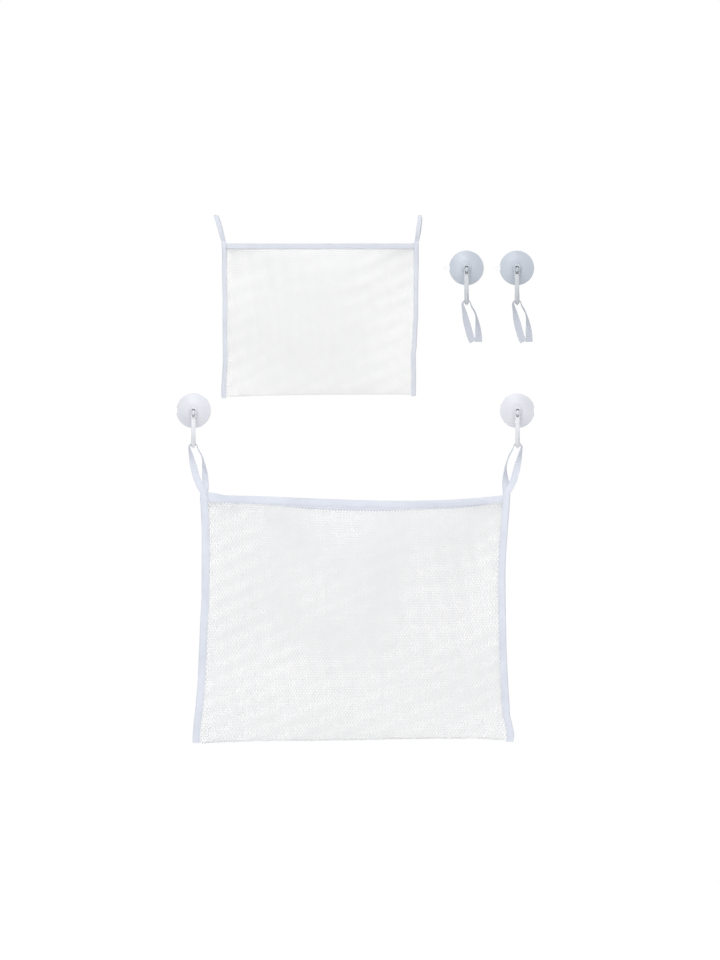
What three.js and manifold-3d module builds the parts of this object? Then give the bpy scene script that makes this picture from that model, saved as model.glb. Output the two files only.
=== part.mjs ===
// Bath toy organizer: two net bags with bound edges and tape loops, and four suction cups
// with clip-on hooks. The large bag hangs from two hooks; the small bag and two hooks are spare.
// Millimetres, +Z up. The wall is the plane Y = 0, the room lies on its -Y side, and the origin
// is on the wall midway between the two cups that carry the large bag.
import * as THREE from 'three';
import { mergeVertices } from 'three/addons/utils/BufferGeometryUtils.js';
import Module from 'manifold-3d';

const wasm = await Module();
wasm.setup();

const { degToRad, lerp, smoothstep } = THREE.MathUtils;

// Clearances
const seatGap = 0.3; // between pieces that touch
const sideRoom = 1.4; // beside the tape in the throat of a hook

// Suction cup, pressed on the wall
const cupRadius = 25;
const landWidth = 8; // flat sealing land of the rim
const lipThickness = 1.2;
const chamberDepth = 3.2;
const domeHeight = 8.6;
const hollowShare = 0.6; // of the chamber's radius, where its roof starts to fall
const hollowDepth = 0.8; // of the chamber's depth, at that place
const bossRadius = 6.5;
const bossHeight = 11.2;
const bossFoot = 1; // width of the slope round the boss
const bossStep = 0.6; // height of that slope
const bossEdge = 0.5;
const neckRadius = 2.2;
const barbRadius = 3.4;
const barbLand = 0.8; // straight part of the barb
const barbTipRadius = 1.9;
const barbTipRound = 0.7;
const barbLength = 4.6;
const tabWidth = 7;
const tabReach = 7.5; // beyond the rim
const tabThickness = 1.2;

// Hook, clipped on the neck of a cup by its window
const plateWidth = 10;
const plateThickness = 3;
const plateRise = 7.5; // above the neck
const windowDrop = 7.1; // from the neck to the lower round of the window
const windowFoot = 3.6; // plate left below the window
const reliefWidth = 2.4; // slit above the neck
const reliefRise = 1.4;
const stemWidth = 6.5;
const barThickness = 3.9;
const barSide = 0.9; // height of the straight side of the bar
const ridgeWidth = 1.8; // flat of the V behind and under the bar
const crownRadius = 5; // round of the face that the tape lies on
const hookLength = 54; // from the neck to the tip of the V
const prongRise = 8; // above the middle of the throat
const prongTaper = 0.62;

// Hanging loops of folded tape
const loopWidth = 10;
const loopThickness = 1.2;
const loopDrop = 66; // from the crown's middle to the sewn foot
const loopInset = 15.7; // from the hook sideways to the sewn foot
const loopBelly = 5.2; // how far the inner leg stands out
const footLength = 7; // straight sewn end of the legs
const footLap = 0.1; // how deep the sewn legs press into each other
const spareShare = 0.8; // of the drop, on the two loops that hang alone
const legCurve = 1.9; // how late the outer leg turns inwards
// Below the crown's middle, from where the tape lies edge-on to where it lies flat
const outerTwist = { start: 0, end: 44 };
const innerTwist = { start: 8, end: 56 };

// Net and binding
const netThickness = 0.6;
const netStrip = 13; // left between two openings of the net
const leafThickness = 0.7; // one layer of binding tape
const foldSpacing = 1.5; // between the two layers of net at the bottom fold
const easeDepth = 40; // below the band, where the layers draw together
const bandMargin = 1; // net left flat below a band
const foldRound = 0.8; // of the tape's thickness, at its outer fold
const flareCurve = 1.6; // how late the sides spread below the waist
const swellCurve = 1.5; // how gently the net rises from its side tapes

const largeBag = {
  topWidth: 446,
  waistTake: 8, // how much narrower the waist is than the top
  bottomGain: 15, // how much wider the bottom is than the top
  waistDepth: 140,
  height: 357, // from the fold of the loops to the bottom
  askew: -2.6, // how far the body hangs to one side
  bindWidth: 10.4,
  bandWidth: 10.6,
  frontSag: 7.2,
  frontSkew: 0.8, // share by which the front sags more to the right
  backSag: 12.5,
  backSkew: 0,
  bottomRise: 4.5,
  frontBow: 18, // of the mouth
  backBow: 6,
  frontBelly: 19.5,
  backBelly: 7.3,
  gapsAcross: 10, // openings of the net, a coarse grid in place of its fine mesh
  gapsDown: 8,
};

const smallBag = {
  topWidth: 283,
  waistTake: 1,
  bottomGain: -4,
  waistDepth: 110,
  height: 219.8,
  askew: -1.5,
  bindWidth: 7,
  bandWidth: 7.6,
  frontSag: 0.4,
  frontSkew: 0,
  backSag: 0.8,
  backSkew: 0,
  bottomRise: 1.5,
  frontBow: 13,
  backBow: 5,
  frontBelly: 13.2,
  backBelly: 5.2,
  gapsAcross: 8,
  gapsDown: 6,
};
const smallLoopWidth = 7.4;
const smallLoopLength = 38;
const smallFootLength = 4; // straight sewn end of the legs
const smallLoopBelly = 4.2; // how far each leg stands out
const smallLoopTaper = 0.35; // of that belly, lost towards the top
const smallLoopLeans = { left: 16, right: -7 }; // degrees from upright

// Places of the spare pieces beside the hung bag
const smallBagX = -50.5;
const smallBagRise = 240.8; // from the hung cups to the fold of the small bag's loops
const spareX = 160.1;
const spareSpacing = 72.7;
const spareRise = 206;

// Facets
const cupSides = 24;
const domeSteps = 5;
const arcSteps = 8;
const throatSteps = 12;
const knuckleSides = 16;
const bandColumns = 14;
const bindingRows = 9;

// Worked out from the sizes above
const plateBack = bossHeight + seatGap;
const plateFront = plateBack + plateThickness;
const barbBase = plateFront + seatGap;
const throatRadius = loopWidth / 2 + sideRoom;
const throatY = -(plateFront + throatRadius);
const throatZ = barThickness + throatRadius - hookLength;
const crownZ = throatZ - Math.sqrt(throatRadius ** 2 - (loopWidth / 2) ** 2) - crownRadius;
const archRadius = crownRadius + seatGap + loopThickness / 2;
const hungSpan = largeBag.topWidth - largeBag.bindWidth + 2 * loopInset;
const bandThickness = netThickness + 2 * (seatGap + leafThickness);
const topSpacing = bandThickness + seatGap;
const knuckleRadius = bindingHalf(0);
const cornerDepth = knuckleRadius + seatGap; // of the net's corners below the knuckles
const footRise = knuckleRadius + seatGap; // from the fold of a loop to its sewn foot

const pale = { roughness: 0.55, metalness: 0 };
const materials = {
  cup: new THREE.MeshStandardMaterial({ color: 0xdfe4ee, roughness: 0.25, metalness: 0 }),
  hook: new THREE.MeshStandardMaterial({ color: 0xeef0f4, roughness: 0.35, metalness: 0 }),
  tape: new THREE.MeshStandardMaterial({ color: 0xdde2f0, ...pale }),
  net: new THREE.MeshStandardMaterial({ color: 0xf0f1f3, ...pale }),
};

// Closed solids from rings of points and from joined geometries

function volumeOf(points, faces) {
  let sum = 0;
  for (let i = 0; i < faces.length; i += 3) {
    const [a, b, c] = [points[faces[i]], points[faces[i + 1]], points[faces[i + 2]]];
    sum += a.dot(new THREE.Vector3().crossVectors(b, c));
  }
  return sum / 6;
}

function solid(points, faces) {
  if (volumeOf(points, faces) < 0) {
    faces.reverse();
  }
  const geometry = new THREE.BufferGeometry().setFromPoints(points);
  geometry.setIndex(faces);
  return geometry;
}

// A solid through rings with equal counts of points; outline is the ring's shape in 2D.
function loft(rings, outline) {
  const count = outline.length;
  const faces = [];
  for (let i = 0; i + 1 < rings.length; i += 1) {
    for (let j = 0; j < count; j += 1) {
      const a = i * count + j;
      const b = i * count + ((j + 1) % count);
      faces.push(a, b, a + count, b, b + count, a + count);
    }
  }
  const last = (rings.length - 1) * count;
  const forward = !THREE.ShapeUtils.isClockWise(outline);
  const contour = forward ? outline : outline.slice().reverse();
  for (const face of THREE.ShapeUtils.triangulateShape(contour, [])) {
    const [a, b, c] = face.map((k) => (forward ? k : count - 1 - k));
    const near = forward ? [a, c, b] : [a, b, c];
    const far = forward ? [a, b, c] : [a, c, b];
    faces.push(...near, ...far.map((k) => last + k));
  }
  return solid(rings.flat(), faces);
}

// A sheet of even thickness on a grid of points, closed round its rim and its openings.
function sheet(grid, thickness, isOpen) {
  const rows = grid.length;
  const columns = grid[0].length;
  const points = [];
  for (const side of [-0.5, 0.5]) {
    for (let i = 0; i < rows; i += 1) {
      for (let j = 0; j < columns; j += 1) {
        const along = grid[Math.min(i + 1, rows - 1)][j].clone().sub(grid[Math.max(i - 1, 0)][j]);
        const across = grid[i][Math.min(j + 1, columns - 1)].clone();
        across.sub(grid[i][Math.max(j - 1, 0)]);
        const normal = along.cross(across).normalize();
        points.push(grid[i][j].clone().addScaledVector(normal, side * thickness));
      }
    }
  }
  const isKept = (i, j) => {
    return i >= 0 && j >= 0 && i + 1 < rows && j + 1 < columns && !isOpen(i, j);
  };
  const faces = [];
  for (let i = 0; i + 1 < rows; i += 1) {
    for (let j = 0; j + 1 < columns; j += 1) {
      if (!isKept(i, j)) continue;
      const corners = [[i, j], [i + 1, j], [i + 1, j + 1], [i, j + 1]];
      const low = corners.map(([m, n]) => m * columns + n);
      const high = low.map((k) => k + rows * columns);
      faces.push(low[0], low[1], low[2], low[0], low[2], low[3]);
      faces.push(high[0], high[2], high[1], high[0], high[3], high[2]);
      [[i, j - 1], [i + 1, j], [i, j + 1], [i - 1, j]].forEach(([m, n], k) => {
        if (isKept(m, n)) return;
        const next = (k + 1) % corners.length;
        faces.push(low[k], high[k], low[next], low[next], high[k], high[next]);
      });
    }
  }
  return solid(points, faces);
}

function toManifold(geometry) {
  const bare = geometry.clone();
  bare.deleteAttribute('normal');
  bare.deleteAttribute('uv');
  const merged = mergeVertices(bare, 1e-4);
  const mesh = new wasm.Mesh({
    numProp: 3,
    vertProperties: new Float32Array(merged.attributes.position.array),
    triVerts: new Uint32Array(merged.index.array),
  });
  return new wasm.Manifold(mesh);
}

function join(...geometries) {
  const whole = geometries.map(toManifold).reduce((a, b) => a.add(b));
  const mesh = whole.getMesh();
  const geometry = new THREE.BufferGeometry();
  geometry.setAttribute('position', new THREE.BufferAttribute(mesh.vertProperties, 3));
  geometry.setIndex(new THREE.BufferAttribute(mesh.triVerts, 1));
  return geometry;
}

function piece(name, geometry, material) {
  const mesh = new THREE.Mesh(geometry, material);
  mesh.name = name;
  return mesh;
}

// Suction cup: rim, dome, boss, neck and barb are one moulding, with a pull tab at its side

function cupGeometry(tabSide) {
  const landInner = cupRadius - landWidth;
  const dome = new THREE.QuadraticBezierCurve(
    new THREE.Vector2(cupRadius - lipThickness / 2, lipThickness),
    new THREE.Vector2((cupRadius + bossRadius) / 2, domeHeight),
    new THREE.Vector2(bossRadius + bossFoot, domeHeight),
  );
  const profile = [
    new THREE.Vector2(0, chamberDepth),
    new THREE.Vector2(landInner * hollowShare, chamberDepth * hollowDepth),
    new THREE.Vector2(landInner, 0),
    new THREE.Vector2(cupRadius, 0),
    new THREE.Vector2(cupRadius, lipThickness / 2),
    ...dome.getPoints(domeSteps),
    new THREE.Vector2(bossRadius, domeHeight + bossStep),
    new THREE.Vector2(bossRadius, bossHeight - bossEdge),
    new THREE.Vector2(bossRadius - bossEdge, bossHeight),
    new THREE.Vector2(neckRadius, bossHeight),
    new THREE.Vector2(neckRadius, barbBase),
    new THREE.Vector2(barbRadius, barbBase),
    new THREE.Vector2(barbRadius, barbBase + barbLand),
    new THREE.Vector2(barbTipRadius, barbBase + barbLength - barbTipRound),
    new THREE.Vector2(0, barbBase + barbLength),
  ];
  const cup = new THREE.LatheGeometry(profile, cupSides);
  cup.rotateX(Math.PI);

  const half = tabWidth / 2;
  const root = cupRadius - landWidth / 2;
  const end = cupRadius + tabReach - half;
  const outline = new THREE.Shape();
  outline.moveTo(root, -half);
  outline.lineTo(end, -half);
  outline.absarc(end, 0, half, -Math.PI / 2, Math.PI / 2);
  outline.lineTo(root, half);
  const tab = new THREE.ExtrudeGeometry(outline, {
    depth: tabThickness,
    bevelEnabled: false,
    curveSegments: arcSteps,
  });
  tab.rotateX(Math.PI / 2);
  tab.translate(0, -seatGap, 0);
  if (tabSide < 0) {
    tab.rotateY(Math.PI);
  }
  return join(cup, tab);
}

// Hook: a plate with a window, and a bar that runs down from it and turns up in a J

function plateGeometry() {
  const half = plateWidth / 2;
  const slot = neckRadius + seatGap;
  const foot = -(windowDrop + slot + windowFoot);
  const plate = new THREE.Shape();
  plate.absarc(0, plateRise - half, half, 0, Math.PI);
  plate.absarc(0, foot + half, half, Math.PI, 2 * Math.PI);
  const relief = reliefWidth / 2;
  const start = Math.asin(relief / slot);
  const opening = new THREE.Path();
  opening.absarc(0, -windowDrop, slot, Math.PI, 2 * Math.PI);
  opening.absarc(0, 0, slot, 0, Math.PI / 2 - start);
  opening.lineTo(relief, slot + reliefRise);
  opening.lineTo(-relief, slot + reliefRise);
  opening.absarc(0, 0, slot, Math.PI / 2 + start, Math.PI);
  plate.holes.push(opening);
  const geometry = new THREE.ExtrudeGeometry(plate, {
    depth: plateThickness,
    bevelEnabled: false,
    curveSegments: arcSteps,
  });
  geometry.rotateX(Math.PI / 2);
  geometry.translate(0, -plateBack, 0);
  return geometry;
}

// Section of the bar: across it, and outwards from the crowned face that the tape lies on.
function barSection(scale) {
  const half = stemWidth / 2;
  const crown = (a) => crownRadius - Math.sqrt(crownRadius ** 2 - a ** 2);
  const inner = [-1, -0.5, 0, 0.5, 1].map((k) => new THREE.Vector2(k * half, crown(k * half)));
  const side = crown(half) + barSide;
  const outer = [
    new THREE.Vector2(half, side),
    new THREE.Vector2(ridgeWidth / 2, barThickness),
    new THREE.Vector2(-ridgeWidth / 2, barThickness),
    new THREE.Vector2(-half, side),
  ];
  return [...inner, ...outer].map((p) => p.multiplyScalar(scale));
}

function hookGeometry() {
  const rings = [];
  const ring = (scale, place) => rings.push(barSection(scale).map(place));
  const stemTop = -(windowDrop + neckRadius + seatGap + windowFoot / 2);
  for (const z of [stemTop, throatZ]) {
    ring(1, (p) => new THREE.Vector3(p.x, throatY + throatRadius + p.y, z));
  }
  for (let i = 1; i < throatSteps; i += 1) {
    const angle = (Math.PI * i) / throatSteps;
    ring(1, (p) => {
      const reach = throatRadius + p.y;
      return new THREE.Vector3(
        p.x, throatY + reach * Math.cos(angle), throatZ - reach * Math.sin(angle));
    });
  }
  for (const share of [0, 0.55, 0.9, 1]) {
    const scale = lerp(1, prongTaper, share ** 3);
    const z = throatZ + prongRise * share;
    ring(scale, (p) => new THREE.Vector3(p.x, throatY - throatRadius - p.y, z));
  }
  return join(plateGeometry(), loft(rings, barSection(1)));
}

// A closed loop of tape along a line of points, its legs sewn together at the foot. acrosses gives
// the direction of the tape's width at a point, for the first half of the line and for the second.
function joinedLoop(points, acrosses, width, thickness) {
  const outline = [[-1, -1], [1, -1], [1, 1], [-1, 1]].map(([a, b]) => {
    return new THREE.Vector2((a * width) / 2, (b * thickness) / 2);
  });
  const middle = points.length - 1;
  const line = new THREE.CatmullRomCurve3(points).getPoints(2 * middle);
  const rings = line.map((point, i) => {
    const before = line[Math.max(i - 1, 0)];
    const tangent = line[Math.min(i + 1, line.length - 1)].clone().sub(before).normalize();
    const wide = acrosses[i < middle ? 0 : 1](point);
    wide.addScaledVector(tangent, -wide.dot(tangent)).normalize();
    const thick = new THREE.Vector3().crossVectors(tangent, wide);
    return outline.map((p) => {
      return point.clone().addScaledVector(wide, p.x).addScaledVector(thick, p.y);
    });
  });
  const overlap = 1;
  const halves = [rings.slice(0, middle + overlap), rings.slice(middle - overlap)];
  return join(...halves.map((half) => loft(half, outline)));
}

// A loop that hangs on a hook: edge-on over the bar, then each leg twists flat on its way down.
// toward is the side, +1 or -1, on which the foot lies. The hook's neck is at the origin.
function hungLoopGeometry(toward, share) {
  const lap = (loopThickness - footLap) / 2;
  const flatness = (drop, twist) => smoothstep(drop, twist.start, twist.end);
  const place = (x, drop, y = 0) => new THREE.Vector3(toward * x, throatY + y, crownZ - drop);
  const outerPlace = (x, drop) => place(x, drop, -lap * flatness(drop, outerTwist));
  const innerPlace = (x, drop) => place(x, drop, lap * flatness(drop, innerTwist));
  const legDrop = loopDrop - footLength;
  const foot = share * legDrop + footLength;
  const outerX = (part) => lerp(-archRadius, loopInset, part ** legCurve);
  const innerX = (part) => {
    return lerp(archRadius, loopInset, part) + loopBelly * 4 * part * (1 - part);
  };
  const parts = [0.15, 0.3, 0.5, 0.7, 0.85, 1].map((s) => s * share);
  const outerLeg = parts.map((part) => outerPlace(outerX(part), part * legDrop));
  const innerLeg = parts.map((part) => innerPlace(innerX(part), part * legDrop));
  const arch = [180, 150, 120, 90, 60, 30].map((degrees) => {
    const angle = degToRad(degrees);
    return place(archRadius * Math.cos(angle), -archRadius * Math.sin(angle));
  });
  const points = [
    outerPlace(outerX(share), foot),
    ...outerLeg.reverse(),
    ...arch,
    ...innerLeg,
    innerPlace(innerX(share), foot),
  ];
  const acrosses = [outerTwist, innerTwist].map((twist) => (point) => {
    const angle = (Math.PI / 2) * (1 - flatness(crownZ - point.z, twist));
    return new THREE.Vector3(toward * Math.cos(angle), -Math.sin(angle), 0);
  });
  return joinedLoop(points, acrosses, loopWidth, loopThickness);
}

// A flat upright loop of the small bag, leaning above its straight sewn foot at the origin.
function uprightLoopGeometry(lean) {
  const lap = (loopThickness - footLap) / 2;
  const free = smallLoopLength - smallFootLength;
  const place = (layer, s) => {
    const belly = smallLoopBelly * Math.sin(Math.PI * s) * (1 - smallLoopTaper * s);
    const out = layer * (lap + belly);
    const x = -s * free * Math.tan(degToRad(lean));
    return new THREE.Vector3(x, out, smallFootLength + s * free);
  };
  const shares = [0, 0.12, 0.35, 0.65, 0.88];
  const points = [
    new THREE.Vector3(0, -lap, 0),
    ...shares.map((s) => place(-1, s)),
    place(0, 1),
    ...shares.toReversed().map((s) => place(1, s)),
    new THREE.Vector3(0, lap, 0),
  ];
  const sideways = () => new THREE.Vector3(1, 0, 0);
  return joinedLoop(points, [sideways, sideways], smallLoopWidth, loopThickness);
}

// Bag: one folded length of net, its edges held in channels of folded tape.
// The bag's own frame has its origin midway between the folds of its loops.

function spacingAt(q, bandWidth) {
  const eased = smoothstep(q, bandWidth, bandWidth + easeDepth);
  return lerp(topSpacing, foldSpacing, eased);
}

// Half the thickness of a side binding where the layers of net are eased together by a share.
function bindingHalf(eased) {
  const spacing = lerp(topSpacing, foldSpacing, eased);
  return (spacing + netThickness) / 2 + seatGap + leafThickness;
}

// The shape of a bag: q is the distance below the top of its bands, u runs across from -1 to 1.
function bagShape(bag) {
  const beside = (q) => {
    const above = Math.max(0, 1 - q / bag.waistDepth);
    const below = Math.max(0, (q - bag.waistDepth) / (bag.height - bag.waistDepth));
    const waist = bag.topWidth - bag.waistTake * (1 - above ** 2);
    return (waist + (bag.waistTake + bag.bottomGain) * below ** flareCurve) / 2;
  };
  const middle = (q) => bag.askew * smoothstep(q, 0, bag.waistDepth);
  const inner = (q) => beside(q) - bag.bindWidth - seatGap;
  const height = (u, q, sag, skew) => {
    const bow = 1 - Math.min(1, u * u);
    const low = q / bag.height;
    return bow * (bag.bottomRise * low - sag * (1 + skew * u) * (1 - low)) - q;
  };
  const depth = (u, q, bow, belly) => {
    const flat = bag.bandWidth + bandMargin;
    const t = Math.max(0, (q - flat) / (bag.height - flat));
    const swell = Math.max(0, 1 - u * u) ** swellCurve;
    return spacingAt(q, bag.bandWidth) / 2 + swell * (bow * (1 - t) + 4 * belly * t * (1 - t));
  };
  return { beside, middle, inner, height, depth };
}

const columnAt = (k) => (2 * k) / bandColumns - 1;

// Rows from below the band to the fold.
function rowsOf(bag) {
  const flat = bag.bandWidth + bandMargin;
  const rows = [];
  for (let i = 0; i <= bindingRows; i += 1) {
    rows.push(lerp(flat, bag.height, i / bindingRows));
  }
  return rows;
}

// Both edges of each opening in a row of openings, with strips of net between them.
function gapEdges(start, end, count, strip) {
  const pitch = (end - start) / count;
  const edges = [];
  for (let k = 0; k < count; k += 1) {
    edges.push(start + k * pitch + strip / 2, start + (k + 1) * pitch - strip / 2);
  }
  return edges;
}

function netGeometry(bag, shape) {
  const stripAcross = netStrip / shape.inner(bag.waistDepth);
  const columns = [-1, ...gapEdges(-1, 1, bag.gapsAcross, stripAcross), 1];
  const rowPoints = (q, place) => {
    const middle = shape.middle(q);
    const edge = shape.beside(q) - leafThickness - seatGap;
    const across = columns.map((u) => place(middle + u * shape.inner(q), u));
    return [place(middle - edge, -1), ...across, place(middle + edge, 1)];
  };
  const layerRow = (q, side, bow, belly, sag, skew) => rowPoints(q, (x, u) => {
    const low = Math.abs(u) < 1 ? q : Math.max(q, cornerDepth);
    const y = side * shape.depth(u, low, bow, belly);
    return new THREE.Vector3(x, y, shape.height(u, low, sag, skew));
  });
  const flat = bag.bandWidth + bandMargin;
  const gapRows = gapEdges(flat, bag.height, bag.gapsDown, netStrip);
  const rows = [leafThickness + seatGap, flat, ...gapRows, bag.height];
  const back = rows.map((q) => {
    return layerRow(q, 1, bag.backBow, bag.backBelly, bag.backSag, bag.backSkew);
  });
  const front = rows.map((q) => {
    return layerRow(q, -1, bag.frontBow, bag.frontBelly, bag.frontSag, bag.frontSkew);
  });
  const fold = [45, 90, 135].map((degrees) => rowPoints(bag.height, (x, u) => {
    const angle = degToRad(degrees);
    const y = (foldSpacing / 2) * Math.cos(angle);
    const z = shape.height(u, bag.height, 0, 0) - (foldSpacing / 2) * Math.sin(angle);
    return new THREE.Vector3(x, y, z);
  }));
  const grid = [...back, ...fold, ...front.reverse()];
  const border = 2; // rows and columns of points before the first opening
  const inGap = (k, count) => {
    return k >= border && k < border + 2 * count && (k - border) % 2 === 0;
  };
  const isOpen = (i, j) => {
    const mirrored = grid.length - 2 - i;
    const inRow = inGap(i, bag.gapsDown) || inGap(mirrored, bag.gapsDown);
    return inRow && inGap(j, bag.gapsAcross);
  };
  return sheet(grid, netThickness, isOpen);
}

// A channel of folded tape over the top edge of one layer of net.
function bandGeometry(bag, shape, side, bow, belly, sag, skew) {
  const outer = bandThickness / 2;
  const slot = outer - leafThickness;
  const round = leafThickness * foldRound;
  const outline = [
    [-outer, bag.bandWidth], [-outer, round], [round - outer, 0],
    [outer - round, 0], [outer, round], [outer, bag.bandWidth],
    [slot, bag.bandWidth], [slot, leafThickness],
    [-slot, leafThickness], [-slot, bag.bandWidth],
  ].map(([y, q]) => new THREE.Vector2(y, q));
  const rings = [];
  for (let k = 0; k <= bandColumns; k += 1) {
    const u = columnAt(k);
    rings.push(outline.map((p) => new THREE.Vector3(
      shape.middle(p.y) + u * shape.inner(p.y),
      side * shape.depth(u, p.y, bow, belly) + p.x,
      shape.height(u, p.y, sag, skew),
    )));
  }
  return loft(rings, outline);
}

// A channel of folded tape up one side, ending in a round knuckle where the loop folds.
function bindingGeometry(bag, shape, side) {
  const round = leafThickness * foldRound;
  const section = (q) => {
    const eased = smoothstep(q, bag.bandWidth, bag.bandWidth + easeDepth);
    const thick = bindingHalf(eased);
    const slot = thick - leafThickness;
    return [
      [0, round - thick], [round, -thick], [bag.bindWidth, -thick], [bag.bindWidth, -slot],
      [leafThickness, -slot], [leafThickness, slot], [bag.bindWidth, slot],
      [bag.bindWidth, thick], [round, thick], [0, thick - round],
    ].map(([x, y]) => new THREE.Vector2(x, y));
  };
  const ring = (q) => section(q).map((p) => new THREE.Vector3(
    shape.middle(q) + side * (shape.beside(q) - p.x), p.y, -q));
  const end = bag.height + foldSpacing / 2 + netThickness / 2 + seatGap;
  const channel = loft([knuckleRadius / 2, ...rowsOf(bag), end].map(ring), section(0));
  const knuckle = new THREE.CylinderGeometry(
    knuckleRadius, knuckleRadius, bag.bindWidth, knuckleSides);
  knuckle.rotateZ(Math.PI / 2);
  knuckle.translate(side * (shape.beside(0) - bag.bindWidth / 2), 0, 0);
  return join(channel, knuckle);
}

function bagGroup(prefix, bag) {
  const shape = bagShape(bag);
  const { frontBow, frontBelly, frontSag, frontSkew, backBow, backBelly, backSag, backSkew } = bag;
  const front = bandGeometry(bag, shape, -1, frontBow, frontBelly, frontSag, frontSkew);
  const back = bandGeometry(bag, shape, 1, backBow, backBelly, backSag, backSkew);
  const group = new THREE.Group();
  group.add(
    piece(`${prefix}_net`, netGeometry(bag, shape), materials.net),
    piece(`${prefix}_front_band`, front, materials.tape),
    piece(`${prefix}_back_band`, back, materials.tape),
    piece(`${prefix}_left_binding`, bindingGeometry(bag, shape, -1), materials.tape),
    piece(`${prefix}_right_binding`, bindingGeometry(bag, shape, 1), materials.tape),
  );
  return group;
}

// The set as it is laid out

const organizer = new THREE.Group();

function addHanger(name, suffix, x, z, tabSide) {
  const hanger = new THREE.Group();
  hanger.position.set(x, 0, z);
  hanger.add(
    piece(`${name}_cup${suffix}`, cupGeometry(tabSide), materials.cup),
    piece(`${name}_hook${suffix}`, hookGeometry(), materials.hook),
  );
  organizer.add(hanger);
  return hanger;
}

const leftHanger = addHanger('left', '', -hungSpan / 2, 0, -1);
const rightHanger = addHanger('right', '', hungSpan / 2, 0, 1);
const spareHangerA = addHanger('spare', '_a', spareX, spareRise, -1);
const spareHangerB = addHanger('spare', '_b', spareX + spareSpacing, spareRise, -1);
leftHanger.add(piece('large_left_loop', hungLoopGeometry(1, 1), materials.tape));
rightHanger.add(piece('large_right_loop', hungLoopGeometry(-1, 1), materials.tape));
spareHangerA.add(piece('spare_loop_a', hungLoopGeometry(1, spareShare), materials.tape));
spareHangerB.add(piece('spare_loop_b', hungLoopGeometry(1, spareShare), materials.tape));

const large = bagGroup('large', largeBag);
large.position.set(0, throatY, crownZ - loopDrop - footRise);
organizer.add(large);

const small = bagGroup('small', smallBag);
small.position.set(smallBagX, throatY, smallBagRise);
for (const [name, side] of [['left', -1], ['right', 1]]) {
  const loop = uprightLoopGeometry(smallLoopLeans[name]);
  loop.translate((side * (smallBag.topWidth - smallBag.bindWidth)) / 2, 0, footRise);
  small.add(piece(`small_${name}_loop`, loop, materials.tape));
}
organizer.add(small);

export default organizer;
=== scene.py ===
import math

import bpy
import numpy as np
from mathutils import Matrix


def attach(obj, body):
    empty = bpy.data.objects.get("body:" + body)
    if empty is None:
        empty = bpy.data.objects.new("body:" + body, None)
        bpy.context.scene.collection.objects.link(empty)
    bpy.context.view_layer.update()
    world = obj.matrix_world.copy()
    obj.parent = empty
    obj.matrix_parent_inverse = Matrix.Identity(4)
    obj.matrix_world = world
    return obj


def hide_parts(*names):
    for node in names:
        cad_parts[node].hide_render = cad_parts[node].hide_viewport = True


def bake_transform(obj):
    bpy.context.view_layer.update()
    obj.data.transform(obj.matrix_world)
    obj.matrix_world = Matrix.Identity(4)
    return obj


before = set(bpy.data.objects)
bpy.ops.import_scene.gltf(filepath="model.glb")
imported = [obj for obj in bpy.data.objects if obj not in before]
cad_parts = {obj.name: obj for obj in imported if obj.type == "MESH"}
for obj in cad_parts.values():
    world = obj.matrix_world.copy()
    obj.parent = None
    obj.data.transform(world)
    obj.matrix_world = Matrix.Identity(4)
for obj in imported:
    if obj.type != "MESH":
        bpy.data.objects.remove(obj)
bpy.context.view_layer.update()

mm = 0.001

# Camera: straight at the wall, square to it

view = {"aimX": 6.55, "aimZ": -99.9, "planeY": -20.9, "distance": 11520, "lens": 300, "sensor": 36, "clipEnd": 50}


def addCamera():
    place = (view["aimX"] * mm, (view["planeY"] - view["distance"]) * mm, view["aimZ"] * mm)
    bpy.ops.object.camera_add(location=place, rotation=(math.pi / 2, 0, 0))
    camera = bpy.context.object
    camera.data.lens = view["lens"]
    camera.data.sensor_width = view["sensor"]
    camera.data.clip_end = view["clipEnd"]
    camera.data.dof.use_dof = False
    bpy.context.scene.camera = camera


addCamera()
print("camera placed")

# Studio: a white room, a pale floor well below the bag and two soft lamps

studio = {
    "floorZ": -900, "floorSize": 9000, "floorTone": 0.93, "floorGlow": 0.56, "floorRough": 0.9, "floorShine": 0.1,
    "roomSeen": 1.0, "roomLight": 0.407, "aim": (0, 0, -0.1),
    "keyPlace": (-0.5, -1.75, 2.4), "keySize": 1.5, "keyPower": 68,
    "fillPlace": (1.7, -2.4, 1.2), "fillSize": 1.6, "fillPower": 9.6,
}


def addLamp(name, place, size, power):
    bpy.ops.object.light_add(type="AREA", location=place)
    lamp = bpy.context.object
    lamp.name = name
    lamp.data.shape = "DISK"
    lamp.data.size = size
    lamp.data.energy = power
    toward = np.array(studio["aim"]) - np.array(place)
    flat = math.hypot(toward[0], toward[1])
    lamp.rotation_euler = (math.atan2(flat, -toward[2]), 0, math.atan2(-toward[0], toward[1]))


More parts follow.
